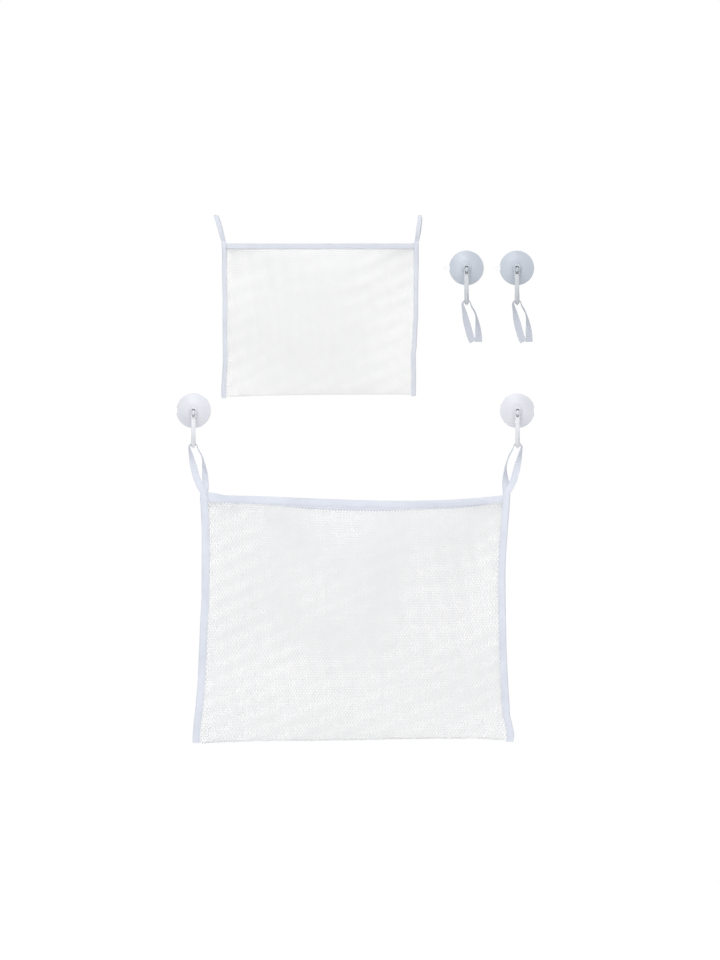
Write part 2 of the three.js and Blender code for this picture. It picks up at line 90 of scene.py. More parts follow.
def addStudio():
    scene = bpy.context.scene
    scene.view_settings.view_transform = "Standard"
    world = bpy.data.worlds.new("whiteRoom")
    scene.world = world
    world.use_nodes = True
    tree = world.node_tree
    seen = tree.nodes["Background"]
    light = tree.nodes.new("ShaderNodeBackground")
    for node, strength in ((seen, studio["roomSeen"]), (light, studio["roomLight"])):
        node.inputs["Strength"].default_value = strength
        node.inputs["Color"].default_value = (1, 1, 1, 1)
    path = tree.nodes.new("ShaderNodeLightPath")
    mix = tree.nodes.new("ShaderNodeMixShader")
    tree.links.new(path.outputs["Is Camera Ray"], mix.inputs["Fac"])
    tree.links.new(light.outputs["Background"], mix.inputs[1])
    tree.links.new(seen.outputs["Background"], mix.inputs[2])
    tree.links.new(mix.outputs["Shader"], tree.nodes["World Output"].inputs["Surface"])

    bpy.ops.mesh.primitive_plane_add(size=studio["floorSize"] * mm, location=(0, 0, studio["floorZ"] * mm))
    floor = bpy.context.object
    floor.name = "floor"
    paint = bpy.data.materials.new("floorPaint")
    paint.use_nodes = True
    shade = paint.node_tree.nodes["Principled BSDF"]
    tone = studio["floorTone"]
    values = {"Base Color": (tone, tone, tone, 1), "Roughness": studio["floorRough"],
              "Specular IOR Level": studio["floorShine"],
              "Emission Color": (1, 1, 1, 1), "Emission Strength": studio["floorGlow"]}
    for key, value in values.items():
        shade.inputs[key].default_value = value
    floor.data.materials.append(paint)
    for lamp in ("key", "fill"):
        addLamp(lamp + "Lamp", studio[lamp + "Place"], studio[lamp + "Size"], studio[lamp + "Power"])


addStudio()
print("studio lit")

# Finishes: a light and a deep tone for each, and one surface for each kind of stuff

finish = {
    "tape": ((0.654, 0.682, 0.755), (0.583, 0.614, 0.695)),
    # the spare set's tape is the same tape made darker: painted shade
    "spareTapeShaded": ((0.497, 0.519, 0.579), (0.427, 0.453, 0.516)),
    # the back band's tape is the same tape made lighter: painted light against the shade under the front band
    "backTapeLitUp": ((0.73, 0.757, 0.828), (0.665, 0.695, 0.77)),
    "smallTape": ((0.601, 0.623, 0.679), (0.538, 0.561, 0.619)),
    "largeNet": ((0.908, 0.918, 0.938), (0.89, 0.90, 0.922)),
    "smallNet": ((0.958, 0.96, 0.966), (0.942, 0.946, 0.954)),
    "hungCup": ((0.672, 0.68, 0.72), (0.61, 0.623, 0.672)),
    # the spare cup tone here and the spare tab tone below are the hung ones made darker: painted shade
    "spareCup": ((0.495, 0.533, 0.585), (0.436, 0.472, 0.533)),
    "hungTab": ((0.90, 0.905, 0.915), (0.86, 0.87, 0.885)),
    "spareTab": ((0.80, 0.805, 0.815), (0.76, 0.77, 0.785)),
    "hungHook": ((0.703, 0.713, 0.742), (0.648, 0.66, 0.694)),
    # the spare hook's tone is the hung hook's made darker: painted shade
    "spareHookShaded": ((0.528, 0.551, 0.58), (0.475, 0.502, 0.534)),
    "sewingThread": ((0.69, 0.715, 0.80), (0.55, 0.58, 0.67)),
}

# tone: scale and detail of its noise and the ramp's ends; rough: scale and range; bump: scale, strength, distance
surfaces = {
    "tape": {"tone": (34, 4, 0.28, 0.72), "rough": (160, 0.62, 0.84),
             "set": {"Sheen Weight": 0.25, "Sheen Roughness": 0.45, "Specular IOR Level": 0.3}},
    "net": {"tone": (14, 2, 0.3, 0.7), "rough": (700, 0.5, 0.75), "bump": (5200, 0.3, 0.00006),
            "set": {"Sheen Weight": 0.2, "Sheen Roughness": 0.5, "Specular IOR Level": 0.35,
                    "Subsurface Weight": 1.0, "Subsurface Radius": (1, 1, 1), "Subsurface Scale": 0.0015}},
    "vinyl": {"tone": (28, 2, 0.3, 0.7), "rough": (240, 0.42, 0.55), "bump": (300, 0.05, 0.0001),
              "set": {"IOR": 1.5, "Specular IOR Level": 0.4}},
    "plastic": {"tone": (60, 3, 0.3, 0.62), "rough": (520, 0.3, 0.46), "bump": (900, 0.1, 0.00008),
                "set": {"IOR": 1.49, "Specular IOR Level": 0.45}},
    "thread": {"tone": (900, 2, 0.3, 0.7), "rough": (1500, 0.5, 0.7), "bump": (4200, 0.3, 0.00005),
               "set": {"Sheen Weight": 0.3, "Sheen Roughness": 0.4}},
}
weave = {
    "scales": {"X": 11.0, "Y": 16.0},  # ribs across the tape and threads along it
    "waver": 0.4, "threadShare": 0.8, "toneShare": 0.08, "strength": 0.35, "distance": 0.00012,
}


class Finish:
    # A material under way: its node tree, and short ways to add and join nodes
    def __init__(self, name):
        self.material = bpy.data.materials.new(name)
        self.material.use_nodes = True
        self.tree = self.material.node_tree
        self.shade = self.tree.nodes["Principled BSDF"]
        self.place = self.add("TexCoord").outputs["Object"]

    def add(self, kind, values=None, joins=None, **settings):
        node = self.tree.nodes.new("ShaderNode" + kind)
        for key, value in settings.items():
            setattr(node, key, value)
        for key, value in (values or {}).items():
            node.inputs[key].default_value = value
        for key, output in (joins or {}).items():
            self.tree.links.new(output, node.inputs[key])
        return node

    def feed(self, key, output):
        self.tree.links.new(output, self.shade.inputs[key])

    def noise(self, scale, detail=3.0, roughness=0.55):
        values = {"Scale": scale, "Detail": detail, "Roughness": roughness}
        return self.add("TexNoise", values, {"Vector": self.place}).outputs["Fac"]

    def tint(self, amount, tones, ends):
        ramp = self.add("ValToRGB", joins={"Fac": amount})
        for element, tone, end in zip(ramp.color_ramp.elements, tones, ends):
            element.position = end
            element.color = (*tone, 1)
        self.feed("Base Color", ramp.outputs["Color"])

    def rough(self, amount, low, high):
        spread = self.add("MapRange", {"To Min": low, "To Max": high}, {"Value": amount})
        self.feed("Roughness", spread.outputs["Result"])

    def bump(self, height, strength, distance):
        node = self.add("Bump", {"Strength": strength, "Distance": distance}, {"Height": height})
        self.feed("Normal", node.outputs["Normal"])

    def sum(self, first, second, share):
        node = self.add("Math", {1: share}, {0: second, 2: first}, operation="MULTIPLY_ADD")
        return node.outputs["Value"]

    def woven(self):
        along = self.add("UVMap", uv_map="tapeMap").outputs["UV"]
        waves = [self.add("TexWave", {"Scale": scale, "Distortion": weave["waver"]}, {"Vector": along},
                          wave_type="BANDS", bands_direction=direction).outputs["Fac"]
                 for direction, scale in weave["scales"].items()]
        return self.sum(*waves, weave["threadShare"])


def mixed(name, kind):
    look = Finish(name)
    (light, deep), surface = finish[name], surfaces[kind]
    scale, detail, *ends = surface["tone"]
    tone = look.noise(scale, detail)
    if kind == "tape":
        threads = look.woven()
        tone = look.sum(tone, threads, weave["toneShare"])
        look.bump(threads, weave["strength"], weave["distance"])
    else:
        scale, *relief = surface["bump"]
        look.bump(look.noise(scale, 2), *relief)
    look.tint(tone, (deep, light), ends)
    scale, *spread = surface["rough"]
    look.rough(look.noise(scale), *spread)
    for key, value in surface["set"].items():
        look.shade.inputs[key].default_value = value
    return look.material


# spare is a darker copy of the tape (painted shade); back is a lighter copy (painted light)
tapeCloth = {
    "hung": mixed("tape", "tape"), "back": mixed("backTapeLitUp", "tape"),
    "small": mixed("smallTape", "tape"), "spare": mixed("spareTapeShaded", "tape"),
}
netYarn = {"large": mixed("largeNet", "net"), "small": mixed("smallNet", "net")}
threadYarn = mixed("sewingThread", "thread")
# spareCup and spareTab are darker copies of the hung vinyl: painted shade
vinyl = {name: mixed(name, "vinyl") for name in ("hungCup", "spareCup", "hungTab", "spareTab")}
# the spare plastic is a darker copy of the hung plastic: painted shade
plastic = {"hung": mixed("hungHook", "plastic"), "spare": mixed("spareHookShaded", "plastic")}
print("finishes mixed")

# Small helpers for modelling by hand, in millimetres

near = 0.01  # slack in picking points by their place, and for merging doubles


def edit():
    bpy.ops.object.mode_set(mode="EDIT")


def leave():
    bpy.ops.object.mode_set(mode="OBJECT")


def deselect():
    if bpy.context.object and bpy.context.object.mode != "OBJECT":
        leave()
    bpy.ops.object.select_all(action="DESELECT")


def pick(obj):
    deselect()
    obj.select_set(True)
    bpy.context.view_layer.objects.active = obj


def copied(obj):
    pick(obj)
    bpy.ops.object.duplicate()
    return bpy.context.object


def selectAll():
    bpy.ops.mesh.select_all(action="SELECT")


def selectPoints(test):
    # In edit mode: select the points whose place passes the test
    obj = bpy.context.object
    bpy.ops.mesh.select_mode(type="VERT")
    bpy.ops.mesh.select_all(action="DESELECT")
    leave()
    for vertex in obj.data.vertices:
        vertex.select = bool(test(vertex.co / mm))
    edit()


def shift(x=0.0, y=0.0, z=0.0):
    bpy.ops.transform.translate(value=(x * mm, y * mm, z * mm))


def extrude(y=0.0, z=0.0):
    bpy.ops.mesh.extrude_region_move(TRANSFORM_OT_translate={"value": (0, y * mm, z * mm)})


def resize(value, y=0.0, z=0.0):
    # About a point of the middle plane
    bpy.ops.transform.resize(value=value, center_override=(0, y * mm, z * mm))


def addRing(sides, radius, place, fill="NOTHING"):
    # A circle that lies flat to the wall
    bpy.ops.mesh.primitive_circle_add(
        vertices=sides, radius=radius * mm, fill_type=fill,
        location=[p * mm for p in place], rotation=(math.pi / 2, 0, 0))


def startRing(*ring):
    # A new object, left in edit mode
    deselect()
    addRing(*ring)
    obj = bpy.context.object
    settle(obj)
    edit()
    return obj


def bridgeRings():
    # In edit mode: faces between two rings, left selected
    selectAll()
    bpy.ops.mesh.bridge_edge_loops()
    selectAll()


def settle(obj):
    # Put the object's place into its mesh
    pick(obj)
    bpy.ops.object.transform_apply(location=True, rotation=True, scale=True)


def hangUp(obj, hanger):
    obj.location = (hanger["x"] * mm, 0, hanger["z"] * mm)
    settle(obj)


def useModifier(obj, kind, **settings):
    pick(obj)
    bpy.ops.object.modifier_add(type=kind)
    modifier = obj.modifiers[-1]
    for key, value in settings.items():
        setattr(modifier, key, value)
    bpy.ops.object.modifier_apply(modifier=modifier.name)


def closeMesh():
    # In edit mode: merge doubles, turn all faces outwards and leave
    selectAll()
    bpy.ops.mesh.remove_doubles(threshold=near * mm)
    bpy.ops.mesh.normals_make_consistent(inside=False)
    leave()


def smooth(obj, degrees):
    pick(obj)
    bpy.ops.object.shade_smooth_by_angle(angle=math.radians(degrees))


def smoothstep(value, low, high):
    t = np.clip((np.asarray(value, float) - low) / (high - low), 0, 1)
    return t * t * (3 - 2 * t)


def reachOf(line):
    # Length along a line up to each of its points
    steps = np.linalg.norm(np.diff(line, axis=0), axis=1)
    return np.concatenate([[0], np.cumsum(steps)])


def pointsAt(at, reach, line):
    return np.stack([np.interp(at, reach, line[:, k]) for k in range(3)], -1)


def eased(value, knots):
    # Smooth steps through pairs of place and amount
    total = knots[0][1]
    for (start, low), (end, high) in zip(knots, knots[1:]):
        total = total + (high - low) * smoothstep(value, start, end)
    return total


def clothObject(name, points, faces, material, maps=None):
    # points in millimetres; maps gives a UV place for each point, by the map's name
    mesh = bpy.data.meshes.new(name)
    mesh.from_pydata((np.asarray(points) * mm).tolist(), [], faces)
    corners = np.zeros(len(mesh.loops), np.int32)
    mesh.loops.foreach_get("vertex_index", corners)
    for key, places in (maps or {}).items():
        layer = mesh.uv_layers.new(name=key, do_init=False)
        layer.uv.foreach_set("vector", np.asarray(places, np.float32)[corners].ravel())
    mesh.polygons.foreach_set("use_smooth", np.ones(len(mesh.polygons), bool))
    mesh.materials.append(material)
    mesh.update()
    obj = bpy.data.objects.new(name, mesh)
    bpy.context.scene.collection.objects.link(obj)
    return obj


def faceOutwards(obj):
    pick(obj)
    edit()
    selectAll()
    bpy.ops.mesh.normals_make_consistent(inside=False)
    leave()


# Where the hangers are, in millimetres

hangers = {
    "left": {"cup": "left_cup", "hook": "left_hook", "x": -233.5, "z": 0, "tab": -1, "kind": "hung"},
    "right": {"cup": "right_cup", "hook": "right_hook", "x": 233.5, "z": 0, "tab": 1, "kind": "hung"},
    # the spare kind picks darker copies of the same finishes: painted shade
    "spareA": {"cup": "spare_cup_a", "hook": "spare_hook_a", "x": 160.1, "z": 206, "tab": -1, "kind": "spare"},
    "spareB": {"cup": "spare_cup_b", "hook": "spare_hook_b", "x": 232.8, "z": 206, "tab": -1, "kind": "spare"},
}

# Suction cup: rings drawn out one after the other, from the chamber's roof over the rim to the button

cup = {
    "sides": 72, "roof": 3.2, "crisp": 32,
    "rings": [
        (5.5, 3.08), (10.2, 2.56), (14.0, 1.45), (16.6, 0.3), (17.4, 0.0), (21.0, 0.0), (24.3, 0.0),
        (24.8, 0.12), (25.0, 0.45), (24.95, 0.85), (24.65, 1.15), (24.1, 1.42), (23.2, 1.95), (21.6, 2.85),
        (19.6, 3.95), (17.2, 5.2), (14.8, 6.35), (12.4, 7.35), (10.2, 8.05), (8.6, 8.42), (7.4, 8.66),
        (6.8, 8.95), (6.5, 9.45), (6.5, 10.6), (6.36, 10.98), (6.0, 11.2), (3.7, 11.2), (3.5, 11.15),
        (3.3, 11.0), (2.5, 10.9), (2.0, 10.95),
    ],
    "button": [  # half width, half height, how far its middle hangs, height
        (1.7, 1.9, 0.3, 11.1), (1.5, 2.0, 1.0, 11.8), (1.3, 1.9, 1.5, 13.4), (1.3, 2.0, 1.7, 14.6),
        (2.2, 3.2, 2.45, 14.8), (2.45, 3.45, 2.45, 15.1), (2.5, 3.5, 2.45, 15.6), (2.4, 3.4, 2.45, 16.6),
        (2.05, 3.05, 2.45, 17.8), (1.4, 2.4, 2.45, 18.6), (0.6, 1.5, 2.45, 19.0),
    ],
    "tabRoot": 22.0, "tabEnd": 28.9, "tabHalf": 3.5, "tabTop": 1.5, "tabFoot": 0.3,
    "tabHole": 1.5, "tabSides": 32, "tabEdge": 0.3, "tabEdgeSteps": 2,
}


def drawnCup():
    wide, height = cup["rings"][0]
    body = startRing(cup["sides"], wide, (0, -height, 0), "TRIFAN")
    selectPoints(lambda p: math.hypot(p.x, p.z) < near)
    shift(y=height - cup["roof"])
    selectPoints(lambda p: math.hypot(p.x, p.z) > near)
    tall, hang = wide, 0
    rings = [(radius, radius, 0, level) for radius, level in cup["rings"][1:]] + cup["button"]
    for nextWide, nextTall, nextHang, nextHeight in rings:
        extrude(height - nextHeight, hang - nextHang)
        resize((nextWide / wide, 1, nextTall / tall), -nextHeight, -nextHang)
        wide, tall, hang, height = nextWide, nextTall, nextHang, nextHeight
    extrude()
    bpy.ops.mesh.merge(type="CENTER")
    closeMesh()
    body.data.materials.append(vinyl["hungCup"])
    return body


def drawnTab():
    # A flat ear with a finger hole, held at the rim
    foot = (cup["tabEnd"], -cup["tabFoot"], 0)
    ear = startRing(cup["tabSides"], cup["tabHalf"], foot)
    selectPoints(lambda p: p.x < cup["tabEnd"] - near)
    shift(x=cup["tabRoot"] - cup["tabEnd"])
    addRing(cup["tabSides"], cup["tabHole"], foot)
    bridgeRings()
    extrude(cup["tabFoot"] - cup["tabTop"])
    closeMesh()
    useModifier(ear, "BEVEL", width=cup["tabEdge"] * mm, segments=cup["tabEdgeSteps"], limit_method="ANGLE")
    ear.data.materials.append(vinyl["hungTab"])
    return ear


def addCups():
    body = drawnCup()
    ear = drawnTab()
    for source in (body, ear):
        smooth(source, cup["crisp"])
    for hanger in hangers.values():
        whole, tab = copied(body), copied(ear)
        if hanger["tab"] < 0:
            tab.rotation_euler = (0, math.pi, 0)
            settle(tab)
        # spare cups and tabs take the darker vinyl copies: painted shade
        whole.data.materials[0] = vinyl[hanger["kind"] + "Cup"]
        tab.data.materials[0] = vinyl[hanger["kind"] + "Tab"]
        pick(whole)
        tab.select_set(True)
        bpy.ops.object.join()
        hangUp(whole, hanger)
        whole.name = hanger["cup"] + "_vinyl"
        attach(whole, "cups")
        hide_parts(hanger["cup"])
    for source in (body, ear):
        bpy.data.objects.remove(source)


addCups()
print("cups pressed on")

# Hook: a plate with a window, and a bar that runs down and turns up in a J

hook = {
    "plateBack": -11.5, "plateThick": 3.0, "plateHalf": 3.9, "plateTop": 1.8, "plateFoot": -8.2, "arcSides": 48,
    "windowHalf": 2.4, "windowEnds": 0.45, "windowTop": 1.3, "windowFoot": -8.2,
    "stemHalf": 3.25, "stemFront": -14.5, "stemSide": 1.0, "stemRidge": 4.5, "ridgeHalf": 0.2, "stemTop": -11.4,
    "crown": 0.9, "crownSteps": 4,
    "throatY": -20.9, "throatZ": -43.7, "turnSteps": 28,
    "prong": [(4.4, 0.96), (2.2, 0.86), (1.1, 0.8), (0.3, 0.74)],  # how far up, and what is left of its size
    "edge": 0.35, "edgeSteps": 3, "plateBend": 50, "barEdgeSteps": 2, "barBend": 38, "crisp": 34,
}


def drawnPlate():
    plate = startRing(hook["arcSides"], hook["plateHalf"], (0, hook["plateBack"], hook["plateTop"]))
    selectPoints(lambda p: p.z < hook["plateTop"] - near)
    shift(z=hook["plateFoot"] - hook["plateTop"])

    window = startRing(hook["arcSides"], hook["windowHalf"], (0, hook["plateBack"], 0))
    selectAll()
    resize((1, 1, hook["windowEnds"]))
    selectPoints(lambda p: p.z < -near)
    shift(z=hook["windowFoot"])
    selectPoints(lambda p: p.z > -near)
    shift(z=hook["windowTop"])

    pick(plate)
    window.select_set(True)
    bpy.ops.object.join()
    edit()
    bridgeRings()
    extrude(-hook["plateThick"])
    closeMesh()
    useModifier(plate, "BEVEL", width=hook["edge"] * mm, segments=hook["edgeSteps"],
                limit_method="ANGLE", angle_limit=math.radians(hook["plateBend"]))
    return plate


def drawnBar():
    deselect()
    half = hook["stemHalf"]
    middle = hook["stemFront"] + hook["stemSide"] / 2
    bpy.ops.mesh.primitive_plane_add(size=1, location=(0, middle * mm, hook["stemTop"] * mm))
    bar = bpy.context.object
    bar.scale = (2 * half * mm, hook["stemSide"] * mm, 1)
    settle(bar)
    edit()
    backEdge = hook["stemFront"] + hook["stemSide"]
    selectPoints(lambda p: p.y > backEdge - near)  # the back edge is drawn out to the ridge
    extrude(hook["stemRidge"] - hook["stemSide"])
    resize((hook["ridgeHalf"] / half, 1, 1), hook["stemFront"] + hook["stemRidge"], hook["stemTop"])
    selectPoints(lambda p: p.y < hook["stemFront"] + near)  # the front corners are rounded to a crown
    bpy.ops.mesh.bevel(offset=hook["crown"] * mm, offset_type="OFFSET", segments=hook["crownSteps"],
                       affect="VERTICES", profile=0.5)
    selectAll()
    extrude(z=hook["throatZ"] - hook["stemTop"])
    bpy.ops.mesh.spin(
        steps=hook["turnSteps"], angle=math.pi, axis=(1, 0, 0),
        center=(0, hook["throatY"] * mm, hook["throatZ"] * mm))
    rise = hook["throatZ"]
    front = 2 * hook["throatY"] - hook["stemFront"] - hook["stemRidge"] / 2
    for step, shrink in hook["prong"]:
        extrude(z=step)
        rise += step
        resize((shrink, shrink, 1), front, rise)
    closeMesh()
    useModifier(bar, "BEVEL", width=hook["edge"] / 2 * mm, segments=hook["barEdgeSteps"],
                limit_method="ANGLE", angle_limit=math.radians(hook["barBend"]))
    return bar


def addHooks():
    plate = drawnPlate()
    bar = drawnBar()
    useModifier(plate, "BOOLEAN", operation="UNION", object=bar, solver="EXACT")
    bpy.data.objects.remove(bar)
    smooth(plate, hook["crisp"])
    for hanger in hangers.values():
        whole = copied(plate)
        whole.data.materials.clear()
        # spare hooks take the darker plastic copy: painted shade
        whole.data.materials.append(plastic[hanger["kind"]])
        hangUp(whole, hanger)
        whole.name = hanger["hook"] + "_moulding"
        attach(whole, hanger["hook"])
        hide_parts(hanger["hook"])
    bpy.data.objects.remove(plate)


addHooks()
print("hooks clipped on")

# The two bags share one shape: q is the depth below the top of the bands, u runs across from -1 to 1

seatGap = 0.3
leaf = 0.7  # one layer of binding tape
foldSpacing = 1.5  # between the net's two layers at the fold, and at the mouth
topSpacing = 2.9
easeDepth = 40
netThick = 0.6
sideFlare = 1.6  # how late the sides spread below the waist
swellEdge = 1.5  # how softly a swelling ends
cornerFrom = 0.86  # where a band's raised corner begins
hemFrom = 0.55  # where the hem's own line begins to tell
rollEdge = {"starts": (0.3, 0.55), "ends": (0.84, 0.97), "from": 2.5, "until": 60}

# hem, strip, trim, wider and stray follow the photo's edges; stays holds two heights by a raised corner
bags = {
    "large": {
        "place": (0, -20.9, -121.745), "body": "large_bag",
        "top": 446, "take": 8, "gain": 15, "waistDepth": 140, "height": 357, "askew": -2.6,
        "bind": 10.4, "band": 10.6, "columns": 110, "bottomRise": 4.5,
        "lift": (4.2, 0), "stays": (3.5, -1.0), "roll": 2.4,
        "hem": [(-1, 0.2), (-0.83, 0.5), (-0.5, 0.1), (-0.17, -0.4), (0, 0.3), (0.33, 2.4), (0.6, 4.0), (0.83, 5.3),
                (1, 4.4)],
        "sag": 6.8, "skew": 0.95, "strip": [(6.2, -0.07, 0.68), (2.8, 0.66, 0.26)],
        "bow": (18, 6), "belly": (19.5, 7.3),
        "pitch": 4.25, "hole": (0.93, 0.95, 1.92), "wider": {-1: 0.5, 1: 0.1}, "cloth": "hung",
        "trim": {-1: 1.4, 1: 3.2},
        "stray": {-1: [(0, 0.9), (60, 0), (143, 0), (190, 1.3), (235, 1.1), (272, 0.7), (301, 1.3), (330, 2.3),
                       (344, 2.3), (358, 1.6)],
                  1: [(20, 0), (56, -0.6), (99, -1.0), (143, -0.2), (186, -0.5), (229, -1.3), (272, -1.6),
                      (301, -1.75), (316, -2.0), (330, 0.2), (344, 1.8), (357, -0.4)]},
    },
    "small": {
        "place": (-50.5, -20.9, 240.8), "body": "small_bag",
        "top": 283, "take": 1, "gain": -4, "waistDepth": 110, "height": 219.8, "askew": -1.5,
        "bind": 7, "band": 7.6, "columns": 80, "bottomRise": 1.5, "lift": (0, 0), "roll": 0,
        "hem": [(-1, -0.8), (-0.65, 0.2), (0, 0.85), (1, 2.3)],
        "sag": 0.4, "skew": 0, "strip": [(0.4, 0, 1)], "bow": (13, 5), "belly": (13.2, 5.2),
        "pitch": 3.2, "hole": (0.70, 0.74, 1.45), "wider": {-1: -0.5, 1: -0.5}, "cloth": "small",
        "trim": {-1: -2.0, 1: 0.9},
        "stray": {-1: [(0, 0.8), (16, 0.15), (37, 0.25), (59, -0.7), (81, -1.6), (124, -1.65), (167, -1.55),
                       (181, -0.8), (196, 0.45), (207, 1.5)],
                  1: [(0, 0), (37, 0.6), (59, 0.7), (81, 1.1), (102, 1.35), (124, 0.3), (145, -0.3), (160, -1.75),
                      (200, -0.7)]},
    },
}


class Bag:
    def __init__(self, name):
        self.name = name
        self.__dict__.update(bags[name])

    def beside(self, q):
        above = np.clip(1 - q / self.waistDepth, 0, 1)
        below = np.maximum(0, (q - self.waistDepth) / (self.height - self.waistDepth))
        waist = self.top - self.take * (1 - above ** 2)
        return (waist + (self.take + self.gain) * below ** sideFlare) / 2

    def middle(self, q):
        return self.askew * smoothstep(q, 0, self.waistDepth)

    def inner(self, q):
        return self.beside(q) - self.bind - seatGap

    def spacing(self, q):
        return topSpacing + (foldSpacing - topSpacing) * smoothstep(q, self.band, self.band + easeDepth)

    def rise(self, u, q, k):
        bow = 1 - np.minimum(1, u * u)
        low = q / self.height
        sag = bow * self.sag * (1 + self.skew * u)
        if k:  # the back edge hangs lower in the middle
            for deep, at, half in self.strip:
                sag = sag + deep * np.maximum(0, 1 - ((u - at) / half) ** 2) ** swellEdge
        corner = self.lift[k] * smoothstep(-u, cornerFrom, 1) * np.clip(1 - q / self.band, 0, 1)
        hem = eased(u, self.hem) * smoothstep(low, hemFrom, 1)
        return bow * self.bottomRise * low - sag * (1 - low) + corner + hem - q

    def depth(self, u, q, k):
        flat = self.band + 1
        t = np.maximum(0, (q - flat) / (self.height - flat))
        swell = np.maximum(0, 1 - u * u) ** swellEdge
        outward = self.spacing(q) / 2 + swell * (self.bow[k] * (1 - t) + 4 * self.belly[k] * t * (1 - t))
        return outward if k else outward - self.rolled(u, q)

    def rolled(self, u, q):
        # How far the front edge rolls in under the right half of the mouth
        along = smoothstep(u, *rollEdge["starts"]) * (1 - smoothstep(u, *rollEdge["ends"]))
        down = smoothstep(q, rollEdge["from"], self.band + 1)
        return self.roll * along * down * (1 - smoothstep(q, self.band + 2, rollEdge["until"]))

    def layer(self, side, u, q):
        # Place of a point of the front (side -1) or back (side 1) layer, u within -1 and 1
        k = 0 if side < 0 else 1
        x = self.middle(q) + u * self.inner(q)
        return x, side * self.depth(u, q, k), self.rise(u, q, k)

    def placed(self, points):
        return np.asarray(points, float) + np.array(self.place)


bagOf = {name: Bag(name) for name in bags}

# Net: six-sided holes between ridged strands, in staggered rows

knit = {
    "ridge": 0.26, "underTape": 3.2, "underBand": 3.5, "openEdge": 5.0, "edgeShare": 0.55,
    "bandEdge": (4.5, 11.0), "bandShare": 0.36, "foldEdge": 3.6, "foldShare": 1.5,
    "bandStrip": 4, "warp": 0.35, "warpLength": 83.0, "warpPhase": {-1: 0.4, 1: 1.9}, "offset": (0.13, 0.11),
    "stray": 0.4, "strayLength": 6.0, "crease": 0.25, "creaseLength": 46.0, "creasePhase": {-1: 0.7, 1: 2.1},
    "creaseEase": (50, 45), "foldInside": {-1: 0.0, 1: 0.12}, "pastFold": 0.6, "crisp": 75,
}


def netSurface(bag, side, x, s):
    # From flat net coordinates in millimetres to the hung net; s runs past the length round the fold
    half = bag.inner(bag.height / 2)
    q = np.minimum(s, bag.height)
    u = np.clip(x / half, -1, 1)
    px, py, pz = bag.layer(side, u, q)
    px = px + np.sign(x) * np.maximum(0, np.abs(x) - half)
    phase = knit["creasePhase"][side]
    above, below = knit["creaseEase"]
    window = (1 - u * u) * smoothstep(q, bag.band, bag.band + above) * smoothstep(bag.height - q, 0, below)
    first = np.sin(x / knit["creaseLength"] * 2 + phase + s / 61)
    second = np.sin(s / knit["creaseLength"] + phase * 3 + x / 97)
    py = py + knit["crease"] * window * (first * second)
    radius = foldSpacing / 2 - knit["foldInside"][side]
    turn = np.clip((s - bag.height) / radius, 0, None)
    py = np.where(turn > 0, side * radius * np.cos(turn), py)
    pz = pz - radius * np.sin(turn)
    return np.stack([px, py, pz], -1)


def netWarp(bag, side, x, s):
    # The two layers are never drawn quite alike; uneven ratios keep the strays from repeating
    phase = knit["warpPhase"][side]
    if side > 0:
        x = x + knit["offset"][0] * bag.pitch
        s = s + knit["offset"][1] * bag.pitch
    span = knit["warpLength"]
    dx = knit["warp"] * np.sin(s / span * 2.1 + phase) * np.cos(x / span + phase * 2)
    ds = knit["warp"] * np.sin(x / span * 1.7 + phase * 3) * np.cos(s / span * 1.3 + phase)
    u, v = x / knit["strayLength"], s / knit["strayLength"]
    dx = dx + knit["stray"] * np.sin(u * 1.1 + v * 0.6 + phase * 5) * np.sin(v * 0.9 - u * 0.4 + phase)
    ds = ds + knit["stray"] * np.sin(v * 0.8 - u * 0.7 + phase * 4) * np.sin(u * 0.9 + v * 0.5 + phase * 2)
    return x + dx, s + ds


